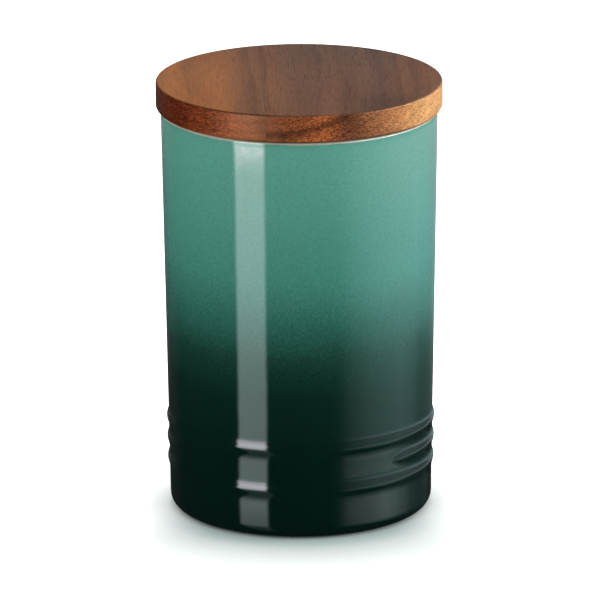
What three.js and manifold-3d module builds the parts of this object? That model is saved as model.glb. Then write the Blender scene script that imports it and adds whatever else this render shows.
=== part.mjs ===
// A storage canister: a glazed stoneware jar with raised ribs above its foot, closed by a push-in
// wooden lid that carries a silicone seal.
// Millimetres, +Z up. The origin is the centre of the foot on the table, and the front is at -Y.
import * as THREE from "three";
import { mergeVertices } from "three/addons/utils/BufferGeometryUtils.js";
import Module from "manifold-3d";

// Jar
const JAR_HEIGHT = 154.6;
const RIM_RADIUS = 52; // outside of the wall at the rim
const BASE_RADIUS = 49.3; // outside of the wall, carried down to the table
const WALL = 5;
const FLOOR = 5.5;
const RIM_ROUND = 1.2; // on both edges of the rim
const COVE_ROUND = 9; // inside, between wall and floor
const HEEL_ROUND = 5.1; // outside, between wall and foot
const FOOT_WIDTH = 5.5; // the flat ring that the jar stands on
const FOOT_RECESS = 2.2; // depth of the hollow inside that ring
const FOOT_SLOPE = 1.6; // how far the side of that hollow leans in

// Ribs round the jar
const RIB_COUNT = 3;
const RIB_PITCH = 8;
const RIB_WIDTH = 5.1;
const RIB_HEIGHT = 0.72;
const LOWEST_RIB = 19.5; // height of its crest
const FIELD_HALF_ANGLE = 44; // the middle rib stops this many degrees either side of the front
const RIB_END_ANGLE = 11; // and its rounded ends take this many degrees to rise

// Lid
const LID_OVERHANG = 1.85; // past the outside of the rim
const LID_THICKNESS = 10.6;
const LID_TOP_ROUND = 0.9;
const LID_LOWER_ROUND = 2;
const LID_TURN = 1.7; // how far the lid is turned in the mouth, in degrees
const PLUG_DEPTH = 12;
const PLUG_CHAMFER = 1.2;
const PLUG_GAP = 2.2; // between the plug and the mouth, bridged by the seal
const GROOVE_DROP = 3.2; // below the underside of the lid
const GROOVE_WIDTH = 5.6;
const GROOVE_DEPTH = 2.8;
const GLUE_OFFSET = -14; // place of the joint between the two staves
const GLUE_LINE = 0.1;

// Seal
const FIN_COUNT = 2;
const FIN_ROOT = 1.1;
const FIN_TIP = 0.6;
const FIN_LIFT = 0.5; // the fins lean up by this much at their tips

// Clearances
const SEAT_GAP = 0.3; // lid above the rim
const SEAL_GAP = 0.3; // seal in its groove and in the mouth

// Colours
const GLAZE_GREEN = 0x2f6f60;
const LIGHT_WOOD = 0x8a5a38;
const DARK_WOOD = 0x6f4a35;
const SILICONE_WHITE = 0xe4e2da;

// Roughness of the finishes
const GLOSS_GLAZE = 0.12;
const OILED_WOOD = 0.5;
const SATIN_SILICONE = 0.45;

// Fineness of the turned surfaces
const TURN_STEPS = 80;
const ARC_STEPS = 3;
const MERGE_DISTANCE = 1e-4;

const wasm = await Module();
wasm.setup();

const degrees = THREE.MathUtils.degToRad;

// The wall leans out by this angle from foot to rim.
const lean = Math.atan((RIM_RADIUS - BASE_RADIUS) / JAR_HEIGHT);
const outerRadius = (z) => BASE_RADIUS + z * Math.tan(lean);
const innerRadius = (z) => outerRadius(z) - WALL;

// Heights that the pieces share
const floorTop = FOOT_RECESS + FLOOR;
const lidUnder = JAR_HEIGHT + SEAT_GAP;
const lidTop = lidUnder + LID_THICKNESS;
const plugBottom = lidUnder - PLUG_DEPTH;
const grooveTop = lidUnder - GROOVE_DROP;
const grooveBottom = grooveTop - GROOVE_WIDTH;

// Radii that the lid and the seal share
const lidRadius = RIM_RADIUS + LID_OVERHANG;
const plugRadius = innerRadius(plugBottom) - PLUG_GAP;
const grooveRadius = plugRadius - GROOVE_DEPTH;

// Carries a path on to (x, y) by an arc that swells out to the right by rise.
function swellTo(path, x, y, rise) {
  const from = path.currentPoint.clone();
  const to = new THREE.Vector2(x, y);
  const along = to.clone().sub(from);
  const half = along.length() / 2;
  const radius = (half * half + rise * rise) / (2 * rise);
  const outward = new THREE.Vector2(along.y, -along.x).normalize();
  const centre = from.clone().add(to).multiplyScalar(0.5).addScaledVector(outward, rise - radius);
  const start = from.sub(centre).angle();
  const end = to.clone().sub(centre).angle();
  path.absarc(centre.x, centre.y, radius, start, end, false);
}

// Turns an outline of (radius, height) round Z, with its seam at the front. On the axis the ring of points
// merges into one, and the triangles that close up there are left out.
function turned(outline) {
  const lathe = new THREE.LatheGeometry(outline.getPoints(ARC_STEPS), TURN_STEPS);
  lathe.deleteAttribute("normal");
  lathe.deleteAttribute("uv");
  lathe.rotateX(Math.PI / 2);
  const merged = mergeVertices(lathe, MERGE_DISTANCE);
  const kept = [];
  const corners = merged.index.array;
  for (let i = 0; i < corners.length; i += 3) {
    const [a, b, c] = corners.slice(i, i + 3);
    if (a !== b && b !== c && c !== a) {
      kept.push(a, b, c);
    }
  }
  return merged.setIndex(kept);
}

// A closed geometry as a solid for cutting.
function solidOf(geometry) {
  const bare = geometry.clone();
  bare.deleteAttribute("normal");
  bare.deleteAttribute("uv");
  const merged = mergeVertices(bare, MERGE_DISTANCE);
  return new wasm.Manifold(
    new wasm.Mesh({
      numProp: 3,
      vertProperties: merged.attributes.position.array,
      triVerts: new Uint32Array(merged.index.array),
    }),
  );
}

// A cut solid back as a geometry.
function geometryOf(solid) {
  const { vertProperties, triVerts } = solid.getMesh();
  return new THREE.BufferGeometry()
    .setAttribute("position", new THREE.BufferAttribute(vertProperties, 3))
    .setIndex(new THREE.BufferAttribute(triVerts, 1));
}

function piece(name, geometry, color, roughness) {
  geometry.computeVertexNormals();
  const material = new THREE.MeshStandardMaterial({ color, roughness, metalness: 0 });
  const mesh = new THREE.Mesh(geometry, material);
  mesh.name = name;
  return mesh;
}

// Height of the crest of rib number i, counted from the foot
const ribCrest = (i) => LOWEST_RIB + i * RIB_PITCH;

// The jar's half section, from the axis under the foot, up the outside, over the rim and down to the floor.
function jarOutline() {
  const round = 1 / Math.cos(lean); // a round of radius 1 takes this much of a leaning wall's radius
  const heelCentre = outerRadius(HEEL_ROUND) - HEEL_ROUND * round;
  const ringInside = heelCentre - FOOT_WIDTH;
  const rimHeight = JAR_HEIGHT - RIM_ROUND;
  const rimOutside = outerRadius(rimHeight) - RIM_ROUND * round;
  const rimInside = innerRadius(rimHeight) + RIM_ROUND * round;
  const coveHeight = floorTop + COVE_ROUND;
  const coveCentre = innerRadius(coveHeight) - COVE_ROUND * round;

  const path = new THREE.Path();
  path.moveTo(0, FOOT_RECESS);
  path.lineTo(ringInside - FOOT_SLOPE, FOOT_RECESS);
  path.lineTo(ringInside, 0);
  path.lineTo(heelCentre, 0);
  path.absarc(heelCentre, HEEL_ROUND, HEEL_ROUND, -Math.PI / 2, -lean, false);
  for (let i = 0; i < RIB_COUNT; i++) {
    const bottom = ribCrest(i) - RIB_WIDTH / 2;
    const top = ribCrest(i) + RIB_WIDTH / 2;
    path.lineTo(outerRadius(bottom), bottom);
    swellTo(path, outerRadius(top), top, RIB_HEIGHT);
  }
  path.absarc(rimOutside, rimHeight, RIM_ROUND, -lean, Math.PI / 2, false);
  path.absarc(rimInside, rimHeight, RIM_ROUND, Math.PI / 2, Math.PI - lean, false);
  path.absarc(coveCentre, coveHeight, COVE_ROUND, -lean, -Math.PI / 2, true);
  path.lineTo(0, floorTop);
  return path;
}

// How much of the middle rib's width and height is left at an angle from the front, 0 to 1: an elliptic end.
function ribShare(angle) {
  const past = Math.abs(angle) - degrees(FIELD_HALF_ANGLE);
  const rise = THREE.MathUtils.clamp(past / degrees(RIB_END_ANGLE), 0, 1);
  return Math.sqrt(1 - (1 - rise) ** 2);
}

// Takes the middle rib down to the bare wall across the front, with rounded ends.
function openField(geometry) {
  const crest = ribCrest(Math.floor(RIB_COUNT / 2));
  const position = geometry.attributes.position;
  for (let i = 0; i < position.count; i++) {
    const x = position.getX(i);
    const y = position.getY(i);
    const z = position.getZ(i);
    const wall = outerRadius(z);
    const across = Math.abs(z - crest) / (RIB_WIDTH / 2);
    const radius = Math.hypot(x, y);
    if (across < 1 && radius > wall) {
      const share = ribShare(Math.atan2(x, -y));
      const swell = share > across ? RIB_HEIGHT * share * (1 - (across / share) ** 2) : 0;
      const scale = (wall + swell) / radius;
      position.setXY(i, x * scale, y * scale);
    }
  }
  return geometry;
}

// The lid's half section before it is cut at the glue line: plug, groove, underside and rounded disc.
function lidOutline() {
  const lowerCentre = new THREE.Vector2(lidRadius - LID_LOWER_ROUND, lidUnder + LID_LOWER_ROUND);
  const topCentre = new THREE.Vector2(lidRadius - LID_TOP_ROUND, lidTop - LID_TOP_ROUND);

  const path = new THREE.Path();
  path.moveTo(0, plugBottom);
  path.lineTo(plugRadius - PLUG_CHAMFER, plugBottom);
  path.lineTo(plugRadius, plugBottom + PLUG_CHAMFER);
  path.lineTo(plugRadius, grooveBottom);
  path.lineTo(grooveRadius, grooveBottom);
  path.lineTo(grooveRadius, grooveTop);
  path.lineTo(plugRadius, grooveTop);
  path.lineTo(plugRadius, lidUnder);
  path.absarc(lowerCentre.x, lowerCentre.y, LID_LOWER_ROUND, -Math.PI / 2, 0, false);
  path.absarc(topCentre.x, topCentre.y, LID_TOP_ROUND, 0, Math.PI / 2, false);
  path.lineTo(0, lidTop);
  return path;
}

// The part of the turned lid on one side of the glue line: -1 is the left stave and 1 the right.
// The block that keeps it reaches well past the lid.
function stave(lid, side) {
  const size = 4 * lidRadius;
  const block = new THREE.BoxGeometry(size, size, 4 * lidTop);
  block.translate(GLUE_OFFSET + side * (size / 2 + GLUE_LINE / 2), 0, 0);
  return geometryOf(lid.intersect(solidOf(block)));
}

// The seal's section: a band that fills the groove, with fins that lean up and reach for the mouth's wall.
function sealOutline() {
  const inside = grooveRadius + SEAL_GAP;
  const low = grooveBottom + SEAL_GAP;
  const high = grooveTop - SEAL_GAP;
  const pitch = (high - low) / FIN_COUNT;

  const path = new THREE.Path();
  path.moveTo(inside, low);
  path.lineTo(plugRadius, low);
  for (let i = 0; i < FIN_COUNT; i++) {
    const middle = low + (i + 0.5) * pitch;
    const tip = middle + FIN_LIFT;
    const reach = innerRadius(tip - FIN_TIP / 2) - SEAL_GAP;
    path.lineTo(plugRadius, middle - FIN_ROOT / 2);
    path.lineTo(reach, tip - FIN_TIP / 2);
    path.lineTo(reach, tip + FIN_TIP / 2);
    path.lineTo(plugRadius, middle + FIN_ROOT / 2);
  }
  path.lineTo(plugRadius, high);
  path.lineTo(inside, high);
  path.closePath();
  return path;
}

const jar = piece("jar", openField(turned(jarOutline())), GLAZE_GREEN, GLOSS_GLAZE);

const lidSolid = solidOf(turned(lidOutline()));
const leftStave = piece("lid_left_stave", stave(lidSolid, -1), LIGHT_WOOD, OILED_WOOD);
const rightStave = piece("lid_right_stave", stave(lidSolid, 1), DARK_WOOD, OILED_WOOD);
const seal = piece("lid_seal", turned(sealOutline()), SILICONE_WHITE, SATIN_SILICONE);

const lid = new THREE.Group();
lid.rotation.z = degrees(LID_TURN);
lid.add(leftStave, rightStave, seal);

const canister = new THREE.Group();
canister.add(jar, lid);

export default canister;
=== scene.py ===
"""A stoneware canister with a wooden lid, dressed for a studio picture.

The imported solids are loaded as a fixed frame. Each piece is modelled again here with its fine
surface, in metres and in the same frame, stands for its solid and rides on that solid's body.
The front is at -Y.
"""

import logging
import math
from collections.abc import Iterator, Mapping, Sequence
from dataclasses import dataclass
from enum import IntEnum

import bmesh
import bpy
from mathutils import Matrix, Quaternion, Vector


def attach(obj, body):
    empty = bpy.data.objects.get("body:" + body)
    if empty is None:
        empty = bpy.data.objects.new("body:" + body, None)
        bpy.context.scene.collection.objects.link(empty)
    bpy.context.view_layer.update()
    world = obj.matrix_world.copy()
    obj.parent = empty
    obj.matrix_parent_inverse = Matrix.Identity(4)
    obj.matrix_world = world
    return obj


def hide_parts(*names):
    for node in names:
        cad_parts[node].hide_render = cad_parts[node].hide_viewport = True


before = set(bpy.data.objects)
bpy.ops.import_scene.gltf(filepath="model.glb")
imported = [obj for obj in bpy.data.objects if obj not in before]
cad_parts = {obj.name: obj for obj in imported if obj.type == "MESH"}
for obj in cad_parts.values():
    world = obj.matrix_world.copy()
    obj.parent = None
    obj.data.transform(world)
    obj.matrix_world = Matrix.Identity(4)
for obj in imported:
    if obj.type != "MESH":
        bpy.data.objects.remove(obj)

LOG = logging.getLogger("canister")

MM = 0.001
FULL_TURN = 2 * math.pi
HALF_TURN_DEGREES = 180.0
SEAM_DEGREES = 0.01  # half the width of the step where azimuths change their sign
MERGE_DISTANCE = 1e-6
DEGENERATE_DISTANCE = 1e-7
SPAN_TOLERANCE = 0.01 * MM
SHARP_ANGLE = math.radians(32)
ROUND_PROFILE = 0.5
NOISE_MEAN = 0.5

Colour = tuple[float, float, float]
Stretch = tuple[float, float, float]
Span = tuple[float, float]
Stops = Sequence[tuple[float, Colour]]
Levels = Sequence[Span]

WHITE: Colour = (1.0, 1.0, 1.0)


class Signal:
    """An output socket of a shader graph that takes part in Python expressions."""

    def __init__(self, graph: "Graph", node: bpy.types.Node, output: str | int = 0) -> None:
        """Keeps where the signal comes from.

        Args:
            graph: The graph that the node is in.
            node: The node.
            output: Which of its outputs the signal is.
        """
        self.graph = graph
        self.node = node
        self.output = output

    @property
    def socket(self) -> bpy.types.NodeSocket:
        """The socket that a link starts from."""
        return self.node.outputs[self.output]

    def out(self, output: str | int) -> "Signal":
        """Another output of the same node."""
        return Signal(self.graph, self.node, output)

    def __add__(self, other: "Operand") -> "Signal":
        """Sum of two values."""
        return self.graph.math("ADD", self, other)

    def __radd__(self, other: "Operand") -> "Signal":
        """Sum with a number on the left."""
        return self.graph.math("ADD", other, self)

    def __sub__(self, other: "Operand") -> "Signal":
        """Difference of two values."""
        return self.graph.math("SUBTRACT", self, other)

    def __rsub__(self, other: "Operand") -> "Signal":
        """Difference from a number on the left."""
        return self.graph.math("SUBTRACT", other, self)

    def __mul__(self, other: "Operand") -> "Signal":
        """Product of two values."""
        return self.graph.math("MULTIPLY", self, other)

    def __rmul__(self, other: "Operand") -> "Signal":
        """Product with a number on the left."""
        return self.graph.math("MULTIPLY", other, self)

    def __truediv__(self, other: "Operand") -> "Signal":
        """Quotient of two values."""
        return self.graph.math("DIVIDE", self, other)

    def __pow__(self, other: "Operand") -> "Signal":
        """A value to a power."""
        return self.graph.math("POWER", self, other)

    def __abs__(self) -> "Signal":
        """Size of a value without its sign."""
        return self.graph.math("ABSOLUTE", self)

    def centred(self) -> "Signal":
        """A noise moved to lie evenly about 0."""
        return self - NOISE_MEAN

    def at_least(self, other: "Operand") -> "Signal":
        """The larger of two values."""
        return self.graph.math("MAXIMUM", self, other)

    def fract(self) -> "Signal":
        """What is left of a value above the whole number below it."""
        return self.graph.math("FRACT", self)

    def rise(self, low: float, high: float) -> "Signal":
        """A smooth step from 0 at low to 1 at high; it falls where low is above high.

        Args:
            low: Value at which the step is 0.
            high: Value at which the step is 1.

        Returns:
            The step, between 0 and 1.
        """
        if low > high:
            return 1 - self.rise(high, low)
        inputs = {"Value": self, "From Min": low, "From Max": high}
        return self.graph.node("ShaderNodeMapRange", {"interpolation_type": "SMOOTHSTEP"}, inputs)


Operand = Signal | float | Sequence[float]


class Graph:
    """The nodes of one material or world."""

    MIX_SOCKETS = (0, 6, 7, 2)  # of a colour Mix node: factor, both colours and the mixed one

    def __init__(self, tree: bpy.types.NodeTree) -> None:
        """Starts from an empty tree."""
        self.tree = tree
        tree.nodes.clear()

    def node(
        self,
        kind: str,
        settings: Mapping[str, object] | None = None,
        inputs: Mapping[str | int, Operand] | None = None,
        output: str | int = 0,
    ) -> Signal:
        """Adds one node.

        Args:
            kind: The node's type name.
            settings: The node's own properties, or a ramp's stops, which are set first.
            inputs: Values or links of its sockets, by name or place.
            output: The output that the signal stands for.

        Returns:
            The signal of that output.
        """
        made = self.tree.nodes.new(kind)
        for name, value in (settings or {}).items():
            if name == "stops":
                self._set_stops(made.color_ramp, value)
            else:
                setattr(made, name, value)
        for name, value in (inputs or {}).items():
            socket = made.inputs[name]
            if isinstance(value, Signal):
                self.tree.links.new(value.socket, socket)
            elif socket.type == "RGBA":
                socket.default_value = (*value, 1.0)
            else:
                socket.default_value = value
        return Signal(self, made, output)

    @staticmethod
    def _set_stops(ramp: bpy.types.ColorRamp, stops: Stops) -> None:
        """Gives a colour ramp its stops.

        Args:
            ramp: The ramp.
            stops: Pairs of a position from 0 to 1 and its colour, in rising order.
        """
        while len(ramp.elements) > 1:
            ramp.elements.remove(ramp.elements[0])
        for place, (position, colour) in enumerate(stops):
            element = ramp.elements[0] if place == 0 else ramp.elements.new(position)
            element.position = position
            element.color = (*colour, 1.0)

    def math(self, operation: str, first: Operand, second: Operand = 0.0) -> Signal:
        """A Math node on one or two values."""
        return self.node("ShaderNodeMath", {"operation": operation}, {0: first, 1: second})

    def hypot(self, first: Signal, second: Signal) -> Signal:
        """Length of two values at right angles."""
        return (first * first + second * second) ** 0.5

    def place(self) -> Signal:
        """The point on the surface, in the piece's own coordinates."""
        return self.node("ShaderNodeTexCoord", output="Object")

    def split(self, vector: Signal) -> tuple[Signal, Signal, Signal]:
        """The three parts of a vector."""
        parts = self.node("ShaderNodeSeparateXYZ", inputs={0: vector})
        return parts.out("X"), parts.out("Y"), parts.out("Z")

    def joined(self, x: Signal, y: Signal, z: Signal) -> Signal:
        """A vector or a colour of three values."""
        return self.node("ShaderNodeCombineXYZ", inputs={0: x, 1: y, 2: z})

    def mapped(self, vector: Signal, scale: Stretch = (1, 1, 1), turn: float = 0.0) -> Signal:
        """A vector stretched along its axes and then turned about Z, in radians."""
        inputs = {"Vector": vector, "Rotation": (0, 0, turn), "Scale": scale}
        return self.node("ShaderNodeMapping", inputs=inputs)

    def noise(self, vector: Signal, size: float, detail: float = 2.0, rough: float = 0.5) -> Signal:
        """Soft noise between 0 and 1.

        Args:
            vector: Where it is read.
            size: Width of its largest features, in metres.
            detail: How many finer layers it has.
            rough: Weight of the finer layers.

        Returns:
            The noise as a value.
        """
        inputs = {"Vector": vector, "Scale": 1 / size, "Detail": detail, "Roughness": rough}
        return self.node("ShaderNodeTexNoise", inputs=inputs)

    def colours(self, value: Signal, stops: Stops) -> Signal:
        """The colour of a ramp at a value; the stops may lie on any scale.

        Args:
            value: Where the ramp is read.
            stops: Pairs of a value and its colour, in rising order.

        Returns:
            The colour.
        """
        low, high = stops[0][0], stops[-1][0]
        shares = [((at - low) / (high - low), colour) for at, colour in stops]
        along = (value - low) / (high - low)
        return self.node("ShaderNodeValToRGB", {"stops": shares}, {0: along})

    def levels(self, value: Signal, stops: Levels) -> Signal:
        """A brightness curve at a value, given by its stops."""
        return self.colours(value, greys(*stops))

    def mix(self, share: Operand, first: Operand, second: Operand, blend: str = "MIX") -> Signal:
        """A colour between two others.

        Args:
            share: How much of the second colour is taken.
            first: Colour at a share of 0.
            second: Colour at a share of 1.
            blend: How the second colour acts on the first.

        Returns:
            The mixed colour.
        """
        factor, a, b, result = self.MIX_SOCKETS
        settings = {"data_type": "RGBA", "blend_type": blend}
        return self.node("ShaderNodeMix", settings, {factor: share, a: first, b: second}, result)

    def product(self, first: Operand, second: Operand) -> Signal:
        """Two colours multiplied."""
        return self.mix(1.0, first, second, "MULTIPLY")

    def bump(self, height: Signal, depth: float, strength: float = 1.0) -> Signal:
        """A normal that follows a height between 0 and 1.

        Args:
            height: The height.
            depth: What a height of 1 measures, in metres.
            strength: Share of the tilt that is used.

        Returns:
            The normal.
        """
        inputs = {"Height": height, "Distance": depth, "Strength": strength}
        return self.node("ShaderNodeBump", inputs=inputs)

    def surface(self, **inputs: Operand) -> None:
        """Ends a material with the standard shader.

        Args:
            inputs: Its values, each named as on the node, with _ for a space.
        """
        named = {name.replace("_", " "): value for name, value in inputs.items()}
        shader = self.node("ShaderNodeBsdfPrincipled", inputs=named)
        self.node("ShaderNodeOutputMaterial", inputs={"Surface": shader})


def greys(*levels: Span) -> Stops:
    """Colour stops of neutral brightness."""
    return tuple((at, (level, level, level)) for at, level in levels)


def new_material(name: str) -> tuple[bpy.types.Material, Graph]:
    """Makes an empty material.

    Args:
        name: Its name.

    Returns:
        The material and the graph of its nodes.
    """
    material = bpy.data.materials.new(name)
    material.use_nodes = True
    return material, Graph(material.node_tree)


@dataclass(frozen=True)
class Corner:
    """A corner of a half section.

    Attributes:
        radius: Distance from the axis.
        height: Height above the table.
        setback: How far before and after the corner its round starts; 0 leaves it sharp.
        steps: Facets of that round.
    """

    radius: float
    height: float
    setback: float = 0.0
    steps: int = 6


@dataclass(frozen=True)
class Turning:
    """A piece turned round Z from a half section."""

    corners: Sequence[Corner]
    closed: bool = False
    steps: int = 256

    def mesh(self) -> bmesh.types.BMesh:
        """Draws the section, rounds its corners and spins it.

        Returns:
            The closed turned mesh, facing out.
        """
        bm = bmesh.new()
        points = [bm.verts.new((corner.radius, 0, corner.height)) for corner in self.corners]
        ends = [*points[1:], points[0]] if self.closed else points[1:]
        for pair in zip(points, ends):
            bm.edges.new(pair)
        for corner, point in zip(self.corners, points):
            if corner.setback:
                bmesh.ops.bevel(
                    bm, geom=[point], offset=corner.setback, segments=corner.steps,
                    profile=ROUND_PROFILE, affect="VERTICES", material=-1,
                )
        bmesh.ops.spin(
            bm, geom=[*bm.verts, *bm.edges], cent=(0, 0, 0), axis=(0, 0, 1),
            angle=FULL_TURN, steps=self.steps, use_merge=True,
        )
        close(bm)
        return bm


def close(bm: bmesh.types.BMesh) -> None:
    """Merges doubled points and turns every face outwards.

    Args:
        bm: The mesh, which is changed.
    """
    bmesh.ops.remove_doubles(bm, verts=bm.verts, dist=MERGE_DISTANCE)
    bmesh.ops.dissolve_degenerate(bm, edges=bm.edges, dist=DEGENERATE_DISTANCE)
    bmesh.ops.recalc_face_normals(bm, faces=bm.faces)


def rise_of(edge: bmesh.types.BMEdge) -> float:
    """Difference in height between an edge's ends."""
    return abs(edge.verts[0].co.z - edge.verts[1].co.z)


def spans(edge: bmesh.types.BMEdge, low: float, high: float) -> bool:
    """Whether an edge runs from one height to another."""
    bottom, top = sorted(vert.co.z for vert in edge.verts)
    return max(abs(bottom - low), abs(top - high)) < SPAN_TOLERANCE


def make_piece(
    name: str, bm: bmesh.types.BMesh, material: bpy.types.Material
) -> bpy.types.Object:
    """Makes an object of a finished mesh, smooth apart from its sharp edges.

    Args:
        name: The piece's name.
        bm: Its mesh, which is used up.
        material: What it is made of.

    Returns:
        The object, at the origin.
    """
    for face in bm.faces:
        face.smooth = True
    for edge in bm.edges:
        edge.smooth = edge.calc_face_angle(0.0) < SHARP_ANGLE
    mesh = bpy.data.meshes.new(name)
    bm.to_mesh(mesh)
    bm.free()
    mesh.materials.append(material)
    piece = bpy.data.objects.new(name, mesh)
    bpy.context.scene.collection.objects.link(piece)
    return piece


@dataclass
class Jar:
    """The stoneware pot: a leaning wall, ribs above a rounded heel, and a foot ring beneath."""

    height: float = 154.6 * MM
    rim_radius: float = 52 * MM
    base_radius: float = 49.3 * MM
    wall: float = 5 * MM
    floor: float = 5.5 * MM
    rim_round: float = 1.2 * MM
    rim_hold: float = 1.4 * MM  # row under that round, the only one that it shades
    cove_round: float = 9 * MM
    heel_round: float = 5.1 * MM
    foot_width: float = 5.5 * MM
    foot_recess: float = 2.2 * MM
    foot_slope: float = 1.6 * MM
    foot_round: float = 0.5 * MM
    rib_count: int = 3
    rib_pitch: float = 8 * MM
    rib_width: float = 5.1 * MM
    rib_height: float = 0.72 * MM
    rib_upper: float = 1.25 * MM  # how gently a rib runs out into the wall above its crest
    rib_lower: float = 1.5 * MM  # and how gently beneath it
    lowest_rib: float = 19.0 * MM
    rib_margin: float = 4 * MM  # finely cut wall beyond the outer ribs' crests
    field_half_angle: float = math.radians(44)
    rib_end_angle: float = math.radians(11)
    rib_cuts: int = 120
    wall_cuts: int = 22

    @property
    def slope(self) -> float:
        """How much the wall's radius grows with height."""
        return (self.rim_radius - self.base_radius) / self.height

    @property
    def floor_top(self) -> float:
        """Height of the floor inside."""
        return self.foot_recess + self.floor

    @property
    def crests(self) -> list[float]:
        """Heights of the ribs' crests, from the lowest."""
        return [self.lowest_rib + i * self.rib_pitch for i in range(self.rib_count)]

    @property
    def rib_band(self) -> Span:
        """Lowest and highest point of the finely cut wall round the ribs."""
        reach = self.rib_width / 2 + self.rib_margin
        return self.crests[0] - reach, self.crests[-1] + reach

    def outer_radius(self, height: float) -> float:
        """Radius of the wall outside, without ribs."""
        return self.base_radius + height * self.slope

    def inner_radius(self, height: float) -> float:
        """Radius of the wall inside."""
        return self.outer_radius(height) - self.wall

    def corners(self) -> list[Corner]:
        """The half section, from the axis under the foot, up the outside and down the inside.

        Returns:
            Its corners.
        """
        ring_inside = self.outer_radius(self.heel_round) - self.heel_round - self.foot_width
        low, high = self.rib_band
        hold = self.height - self.rim_round - self.rim_hold
        return [
            Corner(0, self.foot_recess),
            Corner(ring_inside - self.foot_slope, self.foot_recess, self.foot_round),
            Corner(ring_inside, 0, self.foot_round),
            Corner(self.base_radius, 0, self.heel_round, steps=14),
            Corner(self.outer_radius(low), low),
            Corner(self.outer_radius(high), high),
            Corner(self.outer_radius(hold), hold),
            Corner(self.rim_radius, self.height, self.rim_round),
            Corner(self.inner_radius(self.height), self.height, self.rim_round, steps=10),
            Corner(self.inner_radius(self.floor_top), self.floor_top, self.cove_round, steps=14),
            Corner(0, self.floor_top),
        ]

    def rib_share(self, crest: float, angle: float) -> float:
        """How much of a rib is left at an angle: the middle one stops in rounded ends at the front.

        Args:
            crest: Height of the rib's crest.
            angle: Angle from the front, in radians.

        Returns:
            The share of its width and height, 0 to 1.
        """
        if crest != self.crests[self.rib_count // 2]:
            return 1.0
        past = (abs(angle) - self.field_half_angle) / self.rib_end_angle
        return math.sqrt(1 - (1 - min(max(past, 0.0), 1.0)) ** 2)

    def swell(self, height: float, angle: float) -> float:
        """How far the ribs stand out of the wall at a point.

        Args:
            height: Height of the point.
            angle: Its angle from the front, in radians.

        Returns:
            The swell, with soft feet where a rib meets the wall.
        """
        total = 0.0
        for crest in self.crests:
            share = self.rib_share(crest, angle)
            if share > 0:
                spread = share * (self.rib_upper if height > crest else self.rib_lower)
                total += share * math.exp(-(((height - crest) / spread) ** 2) / 2)
        return self.rib_height * total

    def raise_ribs(self, bm: bmesh.types.BMesh) -> None:
        """Cuts the rib band into fine rows and moves their points out to the ribs.

        Args:
            bm: The turned pot, which is changed.
        """
        low, high = self.rib_band
        upright = [edge for edge in bm.edges if spans(edge, low, high)]
        bmesh.ops.subdivide_edges(bm, edges=upright, cuts=self.rib_cuts, use_grid_fill=True)
        for vert in bm.verts:
            x, y, z = vert.co
            radius = math.hypot(x, y)
            if low <= z <= high and radius > self.outer_radius(z) - self.wall / 2:
                scale = 1 + self.swell(z, math.atan2(x, -y)) / radius
                vert.co.x *= scale
                vert.co.y *= scale

    def cut_wall(self, bm: bmesh.types.BMesh) -> None:
        """Cuts the plain wall into rows, so that its ends shade no more than a row of it."""
        tall = [edge for edge in bm.edges if rise_of(edge) > self.height / 2]
        bmesh.ops.subdivide_edges(bm, edges=tall, cuts=self.wall_cuts, use_grid_fill=True)

    def build(self) -> bpy.types.Object:
        """Turns the pot and dresses it in its glaze.

        Returns:
            The finished piece.
        """
        bm = Turning(self.corners()).mesh()
        self.raise_ribs(bm)
        self.cut_wall(bm)
        bmesh.ops.recalc_face_normals(bm, faces=bm.faces)
        return make_piece("glazed_jar", bm, Glaze(self).material())


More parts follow.
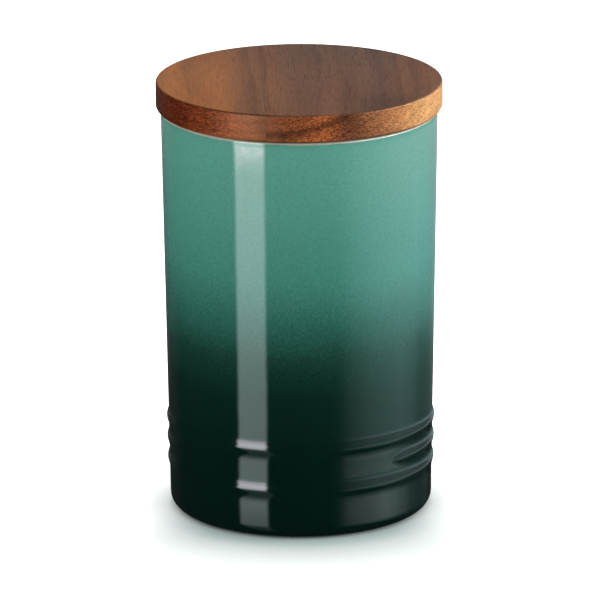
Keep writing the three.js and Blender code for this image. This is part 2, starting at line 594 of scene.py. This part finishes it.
@dataclass(frozen=True)
class Glaze:
    """Gloss glaze, green at the rim and near black at the foot, cream inside, over bare clay."""

    jar: Jar
    outside: Stops = (
        (0.030, (0.0005, 0.0077, 0.0058)),
        (0.054, (0.0014, 0.0128, 0.0092)),
        (0.062, (0.0027, 0.0200, 0.0142)),
        (0.070, (0.0055, 0.0316, 0.0228)),
        (0.085, (0.0180, 0.0905, 0.0685)),
        (0.101, (0.0380, 0.1620, 0.1245)),
        (0.125, (0.0570, 0.2060, 0.1600)),
        (0.150, (0.0750, 0.2450, 0.1900)),
    )
    cream: Colour = (0.56, 0.52, 0.42)
    clay: Colour = (0.42, 0.34, 0.26)
    speckle_size: float = 0.9 * MM
    speckle_shift: float = 12 * MM  # how far the speckle moves the change of colour up and down
    speckle_depth: float = 0.4  # and how much it lightens and darkens it
    cloud_size: float = 22 * MM
    cloud_shift: float = 5 * MM
    rim_band: Span = (1.05 * MM, 0.5 * MM)  # depth at which the rim's cream starts and is full
    rim_wander: float = 1 * MM  # how unevenly it starts
    inside_blend: float = 0.5 * MM  # how far past the middle of the wall the cream is full
    clay_band: Span = (0.18 * MM, 0.06 * MM)  # height at which the bare foot starts and is full
    clay_grain: float = 0.5 * MM
    clay_relief: float = 2.0  # height of that grain, in ripples
    ripple_size: float = 9 * MM
    ripple_depth: float = 0.02 * MM
    gloss: float = 0.07
    gloss_spread: float = 0.02
    clay_roughness: float = 0.85
    index: float = 1.5

    def material(self) -> bpy.types.Material:
        """Builds the glaze's nodes.

        Returns:
            The material.
        """
        material, graph = new_material("stoneware_glaze")
        place = graph.place()
        x, y, z = graph.split(place)
        jar = self.jar

        speckle = graph.noise(place, self.speckle_size, rough=0.6)
        cloud = graph.noise(place, self.cloud_size, detail=3.0)
        shift = speckle.centred() * self.speckle_shift + cloud.centred() * self.cloud_shift
        fleck = 1 + speckle.centred() * self.speckle_depth
        tone = graph.joined(fleck, fleck, fleck)
        green = graph.product(graph.colours(z + shift, self.outside), tone)

        start, full = self.rim_band
        uneven = z + cloud.centred() * self.rim_wander
        on_rim = uneven.rise(jar.height - start, jar.height - full)
        past_middle = jar.base_radius - jar.wall / 2 + z * jar.slope - graph.hypot(x, y)
        inside = past_middle.rise(0, self.inside_blend) * z.rise(jar.foot_recess, jar.floor_top)
        glazed = graph.mix(on_rim.at_least(inside), green, self.cream)

        bare = z.rise(*self.clay_band)
        grain = graph.noise(place, self.clay_grain, detail=3.0)
        ripple = graph.noise(place, self.ripple_size, detail=1.0)
        rough = self.gloss + bare * (self.clay_roughness - self.gloss)
        graph.surface(
            Base_Color=graph.mix(bare, glazed, self.clay),
            Roughness=rough + grain.centred() * self.gloss_spread,
            Normal=graph.bump(ripple + bare * grain * self.clay_relief, self.ripple_depth),
            IOR=self.index,
        )
        return material


class Side(IntEnum):
    """The two sides of the lid's glue line."""

    LEFT = -1
    RIGHT = 1


@dataclass
class Lid:
    """The wooden lid: two glued staves, turned to a disc with a grooved plug beneath."""

    jar: Jar
    overhang: float = 1.82 * MM
    thickness: float = 10.82 * MM
    top_round: float = 0.9 * MM
    lower_round: float = 2 * MM
    edge_round: float = 0.25 * MM
    turn: float = math.radians(1.7)
    plug_depth: float = 12 * MM
    plug_chamfer: float = 1.2 * MM
    plug_gap: float = 2.2 * MM
    groove_drop: float = 3.2 * MM
    groove_width: float = 5.6 * MM
    groove_depth: float = 2.8 * MM
    glue_offset: float = -14 * MM
    glue_line: float = 0.05 * MM
    seat_gap: float = 0.08 * MM

    @property
    def under(self) -> float:
        """Height of the disc's underside."""
        return self.jar.height + self.seat_gap

    @property
    def top(self) -> float:
        """Height of the disc's top."""
        return self.under + self.thickness

    @property
    def radius(self) -> float:
        """Radius of the disc."""
        return self.jar.rim_radius + self.overhang

    @property
    def plug_bottom(self) -> float:
        """Height of the plug's lower face."""
        return self.under - self.plug_depth

    @property
    def plug_radius(self) -> float:
        """Radius of the plug."""
        return self.jar.inner_radius(self.plug_bottom) - self.plug_gap

    @property
    def groove(self) -> tuple[float, float, float]:
        """Bottom, top and radius of the groove for the seal."""
        top = self.under - self.groove_drop
        return top - self.groove_width, top, self.plug_radius - self.groove_depth

    def corners(self) -> list[Corner]:
        """The half section of the whole lid, from the axis under the plug to the axis on top.

        Returns:
            Its corners.
        """
        low, high, deep = self.groove
        return [
            Corner(0, self.plug_bottom),
            Corner(self.plug_radius, self.plug_bottom, self.plug_chamfer, steps=4),
            Corner(self.plug_radius, low, self.edge_round, steps=2),
            Corner(deep, low),
            Corner(deep, high),
            Corner(self.plug_radius, high, self.edge_round, steps=2),
            Corner(self.plug_radius, self.under, self.edge_round, steps=2),
            Corner(self.radius, self.under, self.lower_round, steps=10),
            Corner(self.radius, self.top, self.top_round),
            Corner(0, self.top),
        ]

    def stave(self, side: Side) -> bmesh.types.BMesh:
        """Cuts the turned lid at the glue line and closes the cut.

        Args:
            side: The side that is kept.

        Returns:
            The stave's mesh, turned in the mouth as the lid is.
        """
        bm = Turning(self.corners()).mesh()
        cut = bmesh.ops.bisect_plane(
            bm, geom=[*bm.verts, *bm.edges, *bm.faces], dist=MERGE_DISTANCE,
            plane_co=(self.glue_offset + side * self.glue_line / 2, 0, 0),
            plane_no=(-side, 0, 0), clear_outer=True,
        )
        rim = [element for element in cut["geom_cut"] if isinstance(element, bmesh.types.BMEdge)]
        bmesh.ops.edgeloop_fill(bm, edges=rim)
        close(bm)
        turned = Matrix.Rotation(self.turn, 3, "Z")
        bmesh.ops.rotate(bm, verts=bm.verts, cent=(0, 0, 0), matrix=turned)
        return bm

    def build(self) -> Iterator[tuple[Side, bpy.types.Object]]:
        """Makes and dresses both staves.

        Yields:
            Each side with its finished piece.
        """
        woods = {Side.LEFT: LIGHT_STAVE, Side.RIGHT: DARK_STAVE}
        for side, wood in woods.items():
            name = f"lid_{side.name.lower()}_board"
            yield side, make_piece(name, self.stave(side), wood.material(self))


@dataclass(frozen=True)
class Wood:
    """Oiled hardwood with its grain from front to back.

    Attributes:
        name: The material's name.
        face: Colours across the top, by place along X in metres.
        flank_tone_and_light: Colours round the edge, by place along X in metres: the wood's own tone with
            painted light and shade, darker on the left and lighter on the right.
        heart: Place of the tree's centre beside the board, along X and Z in metres.
        dark_ring: Radius of one dark growth ring round that centre, in metres.
        seed: Shift that sets one board's figure apart from the other's.
    """

    name: str
    face: Stops
    flank_tone_and_light: Stops
    heart: Span
    dark_ring: float
    seed: float
    wander: float = 7 * MM  # how far the drift bends the figure sideways
    warmth: float = 0.3  # and how much it shifts the colour
    drift_size: float = 30 * MM
    drift_stretch: Stretch = (1, 0.45, 1)
    grain_stretch: Stretch = (1, 0.05, 1)
    streak_size: float = 7 * MM
    streak_depth: float = 0.75
    fibre_size: float = 0.6 * MM
    fibre_depth: float = 0.75
    pore_size: float = 0.45 * MM
    pore_levels: Span = (0.56, 0.68)
    pore_depth: float = 0.25
    ring_width: float = 3.6 * MM
    ring_depth: float = 0.25
    ring_waver: float = 0.9  # how far the streaks push a ring out of round, in rings
    ring_power: float = 3.0  # how late in a ring its dark wood sets in
    ring_close: Span = (1.0, 0.92)  # and where it ends
    dark_ring_width: float = 2.6 * MM
    dark_ring_depth: float = 0.55
    dark_ring_waver: float = 2 * MM
    dark_ring_least: float = 0.3  # what is left of that ring on the top
    far_shade: float = 0.2  # how much darker the boards grow towards the back
    far_span: Span = (0, 50 * MM)
    flame_depth: float = 0.0  # how dark the flame near the front edge is
    flame_front: Span = (-12 * MM, -36 * MM)
    flame_left: Span = (12 * MM, 27 * MM)
    flame_right: Span = (46 * MM, 38 * MM)
    flame_streaks: Span = (0.25, 0.5)
    edge_tilt: Span = (0.85, 0.35)  # upright part of the normal on the top, and on the edge
    speckle_size: float = 0.62 * MM
    speckle_stretch: Stretch = (0.6, 0.3, 1.5)
    speckle_levels: Span = (0.3, 0.7)
    speckle_depth: float = 1.4  # how strongly the cut ends of the fibres speckle the edge
    speckle_fade: float = 0.5  # how much of that is lost on the right
    fade_span: Span = (20 * MM, 45 * MM)
    speckle_span: Span = (-12 * MM, -4 * MM)  # where it grows, away from the join
    speckle_least: float = 0.3  # what is left of it at the join
    brink_shade_depth: float = 0.55  # painted shade: how much darker the round at the top of the edge is, on the left
    brink_tilts: tuple[Span, Span] = ((0.2, 0.5), (0.995, 0.9))  # where on that round it starts and ends
    brink_span: Span = (15 * MM, -20 * MM)
    under_edge_shade_height: float = 1.0 * MM  # painted shade: the edge darkens below this height above the underside, where it sits over the rim
    under_edge_shade_depth: float = 0.55
    grain_depth: float = 0.05 * MM
    grain_relief: float = 0.5
    pore_relief: float = 0.6
    relief_share: float = 0.6
    roughness: float = 0.36
    fibre_roughness: float = 0.2
    pore_roughness: float = 0.15
    specular: float = 0.1
    index: float = 1.45

    def material(self, lid: Lid) -> bpy.types.Material:
        """Builds the wood's nodes.

        Args:
            lid: The lid that the board is part of.

        Returns:
            The material.
        """
        material, graph = new_material(self.name)
        place = graph.mapped(graph.place(), turn=-lid.turn)
        x, y, z = graph.split(place)
        offset = (self.seed, self.seed, 0)
        board = graph.node("ShaderNodeVectorMath", {"operation": "ADD"}, {0: place, 1: offset})

        grain = graph.mapped(board, self.grain_stretch)
        drift = graph.noise(graph.mapped(board, self.drift_stretch), self.drift_size)
        streak = graph.noise(grain, self.streak_size, detail=3.0, rough=0.6)
        fibre = graph.noise(grain, self.fibre_size, rough=0.6)
        pores = graph.noise(grain, self.pore_size, detail=1.0).rise(*self.pore_levels)
        ends = graph.noise(graph.mapped(board, self.speckle_stretch), self.speckle_size, rough=0.7)
        speckle = ends.rise(*self.speckle_levels)

        heart_x, heart_z = self.heart
        sway = drift.centred() * self.wander
        reach = graph.hypot(x - heart_x + sway, z - heart_z)
        ring = (reach / self.ring_width + streak.centred() * self.ring_waver).fract()
        late = ring**self.ring_power * ring.rise(*self.ring_close)
        off_ring = abs(reach - self.dark_ring + streak.centred() * self.dark_ring_waver)
        dark = off_ring.rise(self.dark_ring_width, 0)

        _, _, facing = graph.split(graph.node("ShaderNodeTexCoord", output="Normal"))
        edge = abs(facing).rise(*self.edge_tilt)
        # Painted shade on the round at the top of the edge, on the left.
        lower, upper = self.brink_tilts
        brink_shade = facing.rise(*lower) * facing.rise(*upper) * x.rise(*self.brink_span)
        # Painted shade along the foot of the edge, where the lid sits over the rim.
        under_edge_shade = z.rise(lid.under + self.under_edge_shade_height, lid.under)
        flame = y.rise(*self.flame_front) * x.rise(*self.flame_left) * x.rise(*self.flame_right)
        flame = flame * streak.rise(*self.flame_streaks) * (1 - edge)
        dark = dark * (self.dark_ring_least + (1 - self.dark_ring_least) * edge)
        strong = self.speckle_least + x.rise(*self.speckle_span) * (1 - self.speckle_least)
        strong = strong * (1 - x.rise(*self.fade_span) * self.speckle_fade)

        shade = 1 + streak.centred() * self.streak_depth + fibre.centred() * self.fibre_depth
        shade = shade - late * self.ring_depth
        shade = shade * (1 + edge * strong * speckle.centred() * self.speckle_depth)
        # Marks that darken the wood; the last two are painted shade.
        for mark, depth in (
            (pores, self.pore_depth),
            (dark, self.dark_ring_depth),
            (y.rise(*self.far_span), self.far_shade),
            (flame, self.flame_depth),
            (brink_shade, self.brink_shade_depth),
            (under_edge_shade, self.under_edge_shade_depth),
        ):
            shade = shade * (1 - mark * depth)
        warm = shade * (1 + drift.centred() * self.warmth)
        face = graph.colours(x + sway, self.face)
        # The edge's colours hold painted light and shade as well as the wood's own tone.
        flank_tone_and_light = graph.colours(x + sway, self.flank_tone_and_light)

        relief = (fibre + streak) * self.grain_relief - pores * self.pore_relief
        rough = self.roughness + fibre.centred() * self.fibre_roughness
        graph.surface(
            Base_Color=graph.product(graph.mix(edge, face, flank_tone_and_light), graph.joined(shade, warm, warm)),
            Roughness=rough + pores * self.pore_roughness,
            Normal=graph.bump(relief, self.grain_depth, self.relief_share),
            Specular_IOR_Level=self.specular,
            IOR=self.index,
        )
        return material


LIGHT_STAVE = Wood(
    name="light_stave_wood",
    face=(
        (-0.054, (0.178, 0.060, 0.015)),
        (-0.030, (0.184, 0.066, 0.018)),
        (-0.022, (0.130, 0.050, 0.020)),
        (-0.015, (0.095, 0.038, 0.017)),
    ),
    # Edge colours: the wood's own tone, with painted shade darkening it towards the far left and a painted
    # sheen of the strip light near x = -0.02.
    flank_tone_and_light=(
        (-0.053, (0.088, 0.020, 0.006)),
        (-0.047, (0.086, 0.012, 0.001)),
        (-0.037, (0.140, 0.028, 0.004)),
        (-0.026, (0.230, 0.069, 0.023)),
        (-0.018, (0.234, 0.077, 0.024)),
        (-0.0145, (0.175, 0.055, 0.019)),
    ),
    heart=(-0.030, 0.240),
    dark_ring=0.090,
    seed=0.37,
    pore_depth=0.12,
    speckle_depth=1.55,
    speckle_span=(-23 * MM, -35 * MM),
)

DARK_STAVE = Wood(
    name="dark_stave_wood",
    face=(
        (-0.014, (0.113, 0.042, 0.017)),
        (-0.004, (0.078, 0.033, 0.016)),
        (0.007, (0.089, 0.038, 0.019)),
        (0.020, (0.094, 0.041, 0.021)),
        (0.029, (0.068, 0.030, 0.019)),
        (0.040, (0.090, 0.036, 0.015)),
        (0.054, (0.090, 0.036, 0.016)),
    ),
    # Edge colours: the wood's own tone, with painted light making it much lighter towards the right, where
    # the side light falls.
    flank_tone_and_light=(
        (-0.0135, (0.175, 0.053, 0.019)),
        (-0.006, (0.164, 0.044, 0.012)),
        (0.008, (0.255, 0.071, 0.018)),
        (0.017, (0.100, 0.029, 0.011)),
        (0.027, (0.205, 0.078, 0.028)),
        (0.036, (0.350, 0.148, 0.054)),
        (0.042, (0.465, 0.225, 0.080)),
        (0.053, (0.540, 0.278, 0.110)),
    ),
    heart=(-0.017, 0.237),
    dark_ring=0.0796,
    seed=0.11,
    flame_depth=0.3,
)


@dataclass
class LidSeal:
    """The silicone ring in the plug's groove, with fins that lean up and reach for the mouth."""

    lid: Lid
    fin_count: int = 2
    fin_root: float = 1.1 * MM
    fin_tip: float = 0.6 * MM
    fin_lift: float = 0.5 * MM
    gap: float = 0.3 * MM
    body_round: float = 0.4 * MM
    tip_round: float = 0.25 * MM
    round_steps: int = 3

    def corners(self) -> list[Corner]:
        """The closed section of the ring.

        Returns:
            Its corners.
        """
        groove_low, groove_high, deep = self.lid.groove
        inside = deep + self.gap
        outside = self.lid.plug_radius
        low = groove_low + self.gap
        high = groove_high - self.gap
        pitch = (high - low) / self.fin_count
        found = [(inside, low, self.body_round), (outside, low, self.body_round)]
        for i in range(self.fin_count):
            middle = low + (i + 0.5) * pitch
            tip = middle + self.fin_lift
            reach = self.lid.jar.inner_radius(tip - self.fin_tip / 2) - self.gap
            found += [
                (outside, middle - self.fin_root / 2, self.tip_round),
                (reach, tip - self.fin_tip / 2, self.tip_round),
                (reach, tip + self.fin_tip / 2, self.tip_round),
                (outside, middle + self.fin_root / 2, self.tip_round),
            ]
        found += [(outside, high, self.body_round), (inside, high, self.body_round)]
        return [Corner(*corner, steps=self.round_steps) for corner in found]

    def build(self) -> bpy.types.Object:
        """Turns the ring and dresses it."""
        bm = Turning(self.corners(), closed=True).mesh()
        return make_piece("silicone_seal", bm, Silicone().material())


@dataclass(frozen=True)
class Silicone:
    """Milky silicone with a satin skin and a little lint."""

    milky: Colour = (0.78, 0.76, 0.70)
    shaded: Colour = (0.66, 0.64, 0.58)
    cloud_size: float = 9 * MM
    cloud_levels: Span = (0.35, 0.7)
    lint_size: float = 0.6 * MM
    skin_depth: float = 0.03 * MM
    skin_share: float = 0.4
    roughness: float = 0.42
    lint_roughness: float = 0.2
    scatter: float = 0.15
    scatter_depth: float = 1.5 * MM
    index: float = 1.41

    def material(self) -> bpy.types.Material:
        """Builds the silicone's nodes.

        Returns:
            The material.
        """
        material, graph = new_material("milky_silicone")
        place = graph.place()
        cloud = graph.noise(place, self.cloud_size, detail=3.0)
        lint = graph.noise(place, self.lint_size)
        graph.surface(
            Base_Color=graph.mix(cloud.rise(*self.cloud_levels), self.milky, self.shaded),
            Roughness=self.roughness + lint.centred() * self.lint_roughness,
            Normal=graph.bump(lint, self.skin_depth, self.skin_share),
            Subsurface_Weight=self.scatter,
            Subsurface_Scale=self.scatter_depth,
            IOR=self.index,
        )
        return material


@dataclass(frozen=True)
class Panel:
    """A curved light panel round the canister, seen by its gloss.

    Attributes:
        name: The panel's name.
        distance: Radius of its curve.
        across: Brightness by azimuth in degrees, from the front towards +X.
        upwards: Colour of the light by height in metres.
        strength: Brightness where both are 1.
    """

    name: str
    distance: float
    across: Levels
    upwards: Stops
    strength: float
    arc_steps: int = 32

    def mesh(self) -> bmesh.types.BMesh:
        """Spins an upright line through the panel's arc.

        Returns:
            The sheet.
        """
        first, last = math.radians(self.across[0][0]), math.radians(self.across[-1][0])
        foot = Vector((math.sin(first), -math.cos(first), 0)) * self.distance
        bm = bmesh.new()
        ends = [bm.verts.new(foot + Vector((0, 0, self.upwards[i][0]))) for i in (0, -1)]
        line = bm.edges.new(ends)
        bmesh.ops.spin(
            bm, geom=[*ends, line], cent=(0, 0, 0), axis=(0, 0, 1),
            angle=last - first, steps=self.arc_steps,
        )
        return bm

    def material(self) -> bpy.types.Material:
        """A glow that follows the brightness across and up the panel.

        Returns:
            The material.
        """
        material, graph = new_material(self.name)
        x, y, z = graph.split(graph.place())
        azimuth = graph.math("DEGREES", graph.math("ARCTAN2", x, 0 - y))
        if self.across[-1][0] > HALF_TURN_DEGREES:
            left = azimuth.rise(SEAM_DEGREES, -SEAM_DEGREES)
            azimuth = azimuth + left * (2 * HALF_TURN_DEGREES)
        glow = graph.levels(azimuth, self.across)
        level = graph.product(glow, graph.colours(z, self.upwards))
        light = graph.node("ShaderNodeEmission", inputs={"Color": level, "Strength": self.strength})
        clear = graph.node("ShaderNodeBsdfTransparent")
        both = graph.node("ShaderNodeAddShader", inputs={0: light, 1: clear})
        graph.node("ShaderNodeOutputMaterial", inputs={"Surface": both})
        return material

    def build(self) -> None:
        """Hangs the panel where only mirrored light shows it."""
        panel = make_piece(self.name, self.mesh(), self.material())
        panel.visible_camera = False
        panel.visible_shadow = False
        panel.visible_diffuse = False


STRIP = Panel(
    name="strip_light",
    distance=0.8,
    across=((-55.5, 0.0), (-52.5, 1.0), (-30.2, 1.0), (-27.2, 0.0)),
    upwards=(
        (-1.600, (0.000, 0.000, 0.000)),
        (-0.530, (0.030, 0.036, 0.036)),
        (-0.350, (0.085, 0.105, 0.100)),
        (-0.285, (0.140, 0.170, 0.165)),
        (-0.250, (0.190, 0.235, 0.225)),
        (-0.190, (0.223, 0.296, 0.280)),
        (-0.151, (0.309, 0.395, 0.397)),
        (-0.127, (0.362, 0.385, 0.400)),
        (-0.090, (0.367, 0.365, 0.390)),
        (-0.040, (0.500, 0.510, 0.540)),
        (0.060, (0.680, 0.700, 0.750)),
        (0.310, (0.900, 0.930, 1.000)),
        (0.900, (0.900, 0.930, 1.000)),
    ),
    strength=11.0,
)
STRIP_HEAD = Panel(
    name="strip_head",
    distance=STRIP.distance,
    across=STRIP.across,
    upwards=(
        (-0.090, (0.00, 0.00, 0.00)),
        (-0.087, (0.07, 0.03, 0.05)),
        (-0.085, (0.13, 0.08, 0.10)),
        (-0.082, (0.26, 0.18, 0.21)),
        (-0.080, (0.62, 0.45, 0.52)),
        (-0.078, (0.95, 0.72, 0.80)),
        (-0.062, (1.15, 0.92, 1.00)),
        (-0.052, (0.00, 0.00, 0.00)),
    ),
    strength=STRIP.strength,
)
SOFTBOX = Panel(
    name="side_softbox",
    distance=0.9,
    across=(
        (0.0, 0.0), (28.0, 0.02), (34.0, 0.10), (48.0, 0.50), (62.0, 0.84), (78.0, 1.0), (95.0, 1.0),
        (110.0, 0.62), (124.0, 0.26), (140.0, 0.14), (165.0, 0.10),
    ),
    upwards=(
        (-0.262, (0.45, 0.70, 0.69)),
        (-0.240, (0.51, 0.77, 0.77)),
        (-0.208, (0.60, 1.10, 1.05)),
        (-0.175, (0.88, 1.42, 1.45)),
        (-0.154, (0.85, 1.10, 1.28)),
        (-0.130, (0.95, 1.00, 1.18)),
        (-0.105, (1.05, 1.00, 1.10)),
        (-0.080, (0.50, 0.66, 0.66)),
        (0.340, (0.45, 0.60, 0.60)),
        (0.400, (14.0, 14.0, 14.0)),
        (0.900, (14.0, 14.0, 14.0)),
    ),
    strength=1.2,
)
REAR_SOFTBOX = Panel(
    name="rear_softbox",
    distance=0.85,
    across=((98.0, 0.0), (112.0, 0.75), (125.0, 0.9), (140.0, 0.55), (150.0, 0.38), (178.0, 0.36)),
    upwards=(
        (-0.190, (0.00, 0.00, 0.00)),
        (-0.168, (0.18, 0.45, 0.43)),
        (-0.147, (0.20, 0.42, 0.46)),
        (-0.127, (0.33, 0.52, 0.60)),
        (-0.108, (0.33, 0.44, 0.52)),
        (-0.088, (0.43, 0.30, 0.43)),
        (-0.082, (0.52, 0.40, 0.52)),
        (-0.076, (0.80, 0.62, 0.80)),
        (-0.066, (0.80, 0.68, 0.80)),
        (-0.055, (0.10, 0.10, 0.10)),
        (0.300, (0.05, 0.06, 0.06)),
    ),
    strength=1.0,
)
LOW_SOFTBOX = Panel(
    name="low_softbox",
    distance=0.9,
    across=(
        (29.0, 0.0), (35.0, 0.10), (42.0, 0.40), (49.0, 0.56), (63.0, 0.75), (79.0, 1.0), (90.0, 0.75),
        (98.0, 0.47), (112.0, 0.14), (127.0, 0.055), (150.0, 0.03),
    ),
    upwards=(
        (-0.750, (0.00, 0.00, 0.00)),
        (-0.400, (0.40, 0.50, 0.50)),
        (-0.300, (0.74, 0.95, 0.95)),
        (-0.262, (0.78, 1.00, 1.00)),
    ),
    strength=1.5,
)
BACKDROP = Panel(
    name="white_backdrop",
    distance=1.5,
    across=((130.0, 0.4), (180.0, 1.0), (230.0, 0.4)),
    upwards=greys(
        (-0.80, 0.02), (-0.45, 0.04), (-0.40, 0.11), (-0.37, 0.19), (-0.30, 0.21), (-0.255, 0.60),
        (-0.235, 0.60), (-0.20, 0.25), (-0.02, 0.25), (0.05, 1.0), (1.40, 1.0),
    ),
    strength=0.35,
)


@dataclass(frozen=True)
class Lamp:
    """A round lamp turned to the foot of the axis, which matt surfaces see and gloss doesn't.

    Attributes:
        name: Its name.
        place: Where it hangs, in metres.
        size: Its diameter.
        power: Its power in watts.
    """

    name: str
    place: tuple[float, float, float]
    size: float
    power: float

    def build(self) -> None:
        """Hangs the lamp."""
        data = bpy.data.lights.new(self.name, "AREA")
        data.shape = "DISK"
        data.size = self.size
        data.energy = self.power
        lamp = bpy.data.objects.new(self.name, data)
        lamp.location = self.place
        lamp.rotation_mode = "QUATERNION"
        lamp.rotation_quaternion = (-Vector(self.place)).to_track_quat("-Z", "Y")
        lamp.visible_glossy = False
        bpy.context.scene.collection.objects.link(lamp)


OVERHEAD_LAMP = Lamp("overhead_lamp", place=(-0.005, 0.042, 1.15), size=0.26, power=9.0)
SIDE_LAMP = Lamp("side_lamp", place=(1.0, 0.035, 0.16), size=0.5, power=5.2)


@dataclass
class Studio:
    """The pale floor, the even room light, the lamps and the panels."""

    floor_half: float = 6.0
    floor_drop: float = 0.05 * MM
    floor_colour: Colour = (0.97, 0.97, 0.97)
    # The floor's tone to the camera beside and behind the foot, by distance from the axis in
    # metres, and the tone in front of it: a painted contact shadow round the foot, darker and tinted
    # green in front, laid over the floor's real shadow.
    side_floor_shadow: Stops = (
        (0.050, (0.76, 0.80, 0.79)),
        (0.060, (0.86, 0.87, 0.87)),
        (0.100, (1.00, 1.00, 1.00)),
    )
    front_floor_shadow: Stops = (
        (0.052, (0.41, 0.505, 0.49)),
        (0.061, (0.53, 0.575, 0.56)),
        (0.090, (0.55, 0.56, 0.56)),
        (0.150, (0.68, 0.68, 0.68)),
    )
    ahead_span: Span = (0.2, 0.85)  # cosine of the angle from the front where that tone starts and is full
    floor_gain: float = 1.25  # what these tones are multiplied by
    room_light: float = 1.0
    room_gloss: float = 0.015  # how much of the room a glossy surface mirrors
    lamps: Sequence[Lamp] = (OVERHEAD_LAMP, SIDE_LAMP)
    panels: Sequence[Panel] = (
        STRIP, STRIP_HEAD, SOFTBOX, LOW_SOFTBOX, REAR_SOFTBOX, BACKDROP,
    )

    def lay_floor(self) -> None:
        """Lays the floor under the foot."""
        bm = bmesh.new()
        bmesh.ops.create_grid(bm, x_segments=1, y_segments=1, size=self.floor_half)
        bmesh.ops.translate(bm, verts=bm.verts, vec=(0, 0, -self.floor_drop))
        material, graph = new_material("pale_floor")
        seen = graph.node("ShaderNodeLightPath", output="Is Camera Ray")
        x, y, _ = graph.split(graph.place())
        reach = graph.hypot(x, y)
        # Painted contact shadow: to the camera the floor is darker near the foot, most in front.
        ahead = (0 - y / reach).rise(*self.ahead_span)
        beside = graph.colours(reach, self.side_floor_shadow)
        tone = graph.mix(ahead, beside, graph.colours(reach, self.front_floor_shadow))
        bright = graph.product(tone, (self.floor_gain,) * 3)
        colour = graph.mix(seen, self.floor_colour, bright)
        shader = graph.node("ShaderNodeBsdfDiffuse", inputs={"Color": colour})
        graph.node("ShaderNodeOutputMaterial", inputs={"Surface": shader})
        floor = make_piece("pale_floor", bm, material)
        floor.visible_glossy = False

    def light_room(self) -> None:
        """Fills the room with even light that the camera sees as white."""
        world = bpy.data.worlds.new("studio")
        world.use_nodes = True
        bpy.context.scene.world = world
        graph = Graph(world.node_tree)
        path = graph.node("ShaderNodeLightPath")
        seen, mirrored = path.out("Is Camera Ray"), path.out("Is Glossy Ray")
        unseen = self.room_light + mirrored * (self.room_gloss - self.room_light)
        level = seen + (1 - seen) * unseen
        shader = graph.node("ShaderNodeBackground", inputs={"Color": WHITE, "Strength": level})
        graph.node("ShaderNodeOutputWorld", inputs={"Surface": shader})

    def build(self) -> None:
        """Sets up the whole studio."""
        self.lay_floor()
        self.light_room()
        for light in (*self.lamps, *self.panels):
            light.build()


@dataclass
class ViewCamera:
    """The camera at the photograph's viewing angle."""

    lens: float = 540.5  # millimetres, on a sensor 36 mm wide
    elevation: float = math.radians(16.0)
    distance: float = 3.397
    level: float = 85.2 * MM  # height on the axis that the angle and distance are measured to
    aim_right: float = -0.02 * MM  # how far beside and beneath that point the camera looks
    aim_down: float = 5.59 * MM
    roll: float = -0.0045  # about the line of sight, in radians

    def build(self) -> None:
        """Stands the camera and makes it the scene's."""
        back = Vector((0, -math.cos(self.elevation), math.sin(self.elevation)))
        up = Vector((0, math.sin(self.elevation), math.cos(self.elevation)))
        centre = Vector((0, 0, self.level))
        place = centre + back * self.distance
        aim = centre + Vector((self.aim_right, 0, 0)) - up * self.aim_down
        data = bpy.data.cameras.new("view_camera")
        data.lens = self.lens
        camera = bpy.data.objects.new("view_camera", data)
        camera.location = place
        camera.rotation_mode = "QUATERNION"
        upright = (aim - place).to_track_quat("-Z", "Y")
        camera.rotation_quaternion = upright @ Quaternion((0, 0, 1), self.roll)
        bpy.context.scene.collection.objects.link(camera)
        bpy.context.scene.camera = camera


def settle(piece: bpy.types.Object, node: str, body: str) -> None:
    """Puts a piece in the place of its solid.

    Args:
        piece: The finished piece.
        node: The solid that it stands for.
        body: The body that it rides on.
    """
    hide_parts(node)
    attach(piece, body)
    LOG.info("%s stands for %s on %s: %d faces", piece.name, node, body, len(piece.data.polygons))


def main() -> None:
    """Builds the canister and its studio."""
    logging.basicConfig(level=logging.INFO, format="%(name)s: %(message)s")
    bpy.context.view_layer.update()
    bpy.context.scene.view_settings.view_transform = "Standard"

    ViewCamera().build()
    jar = Jar()
    settle(jar.build(), "jar", "jar")
    lid = Lid(jar)
    for side, piece in lid.build():
        word = side.name.lower()
        settle(piece, f"lid_{word}_stave", "lid")
    settle(LidSeal(lid).build(), "lid_seal", "seal")
    Studio().build()


if __name__ == "__main__":
    main()
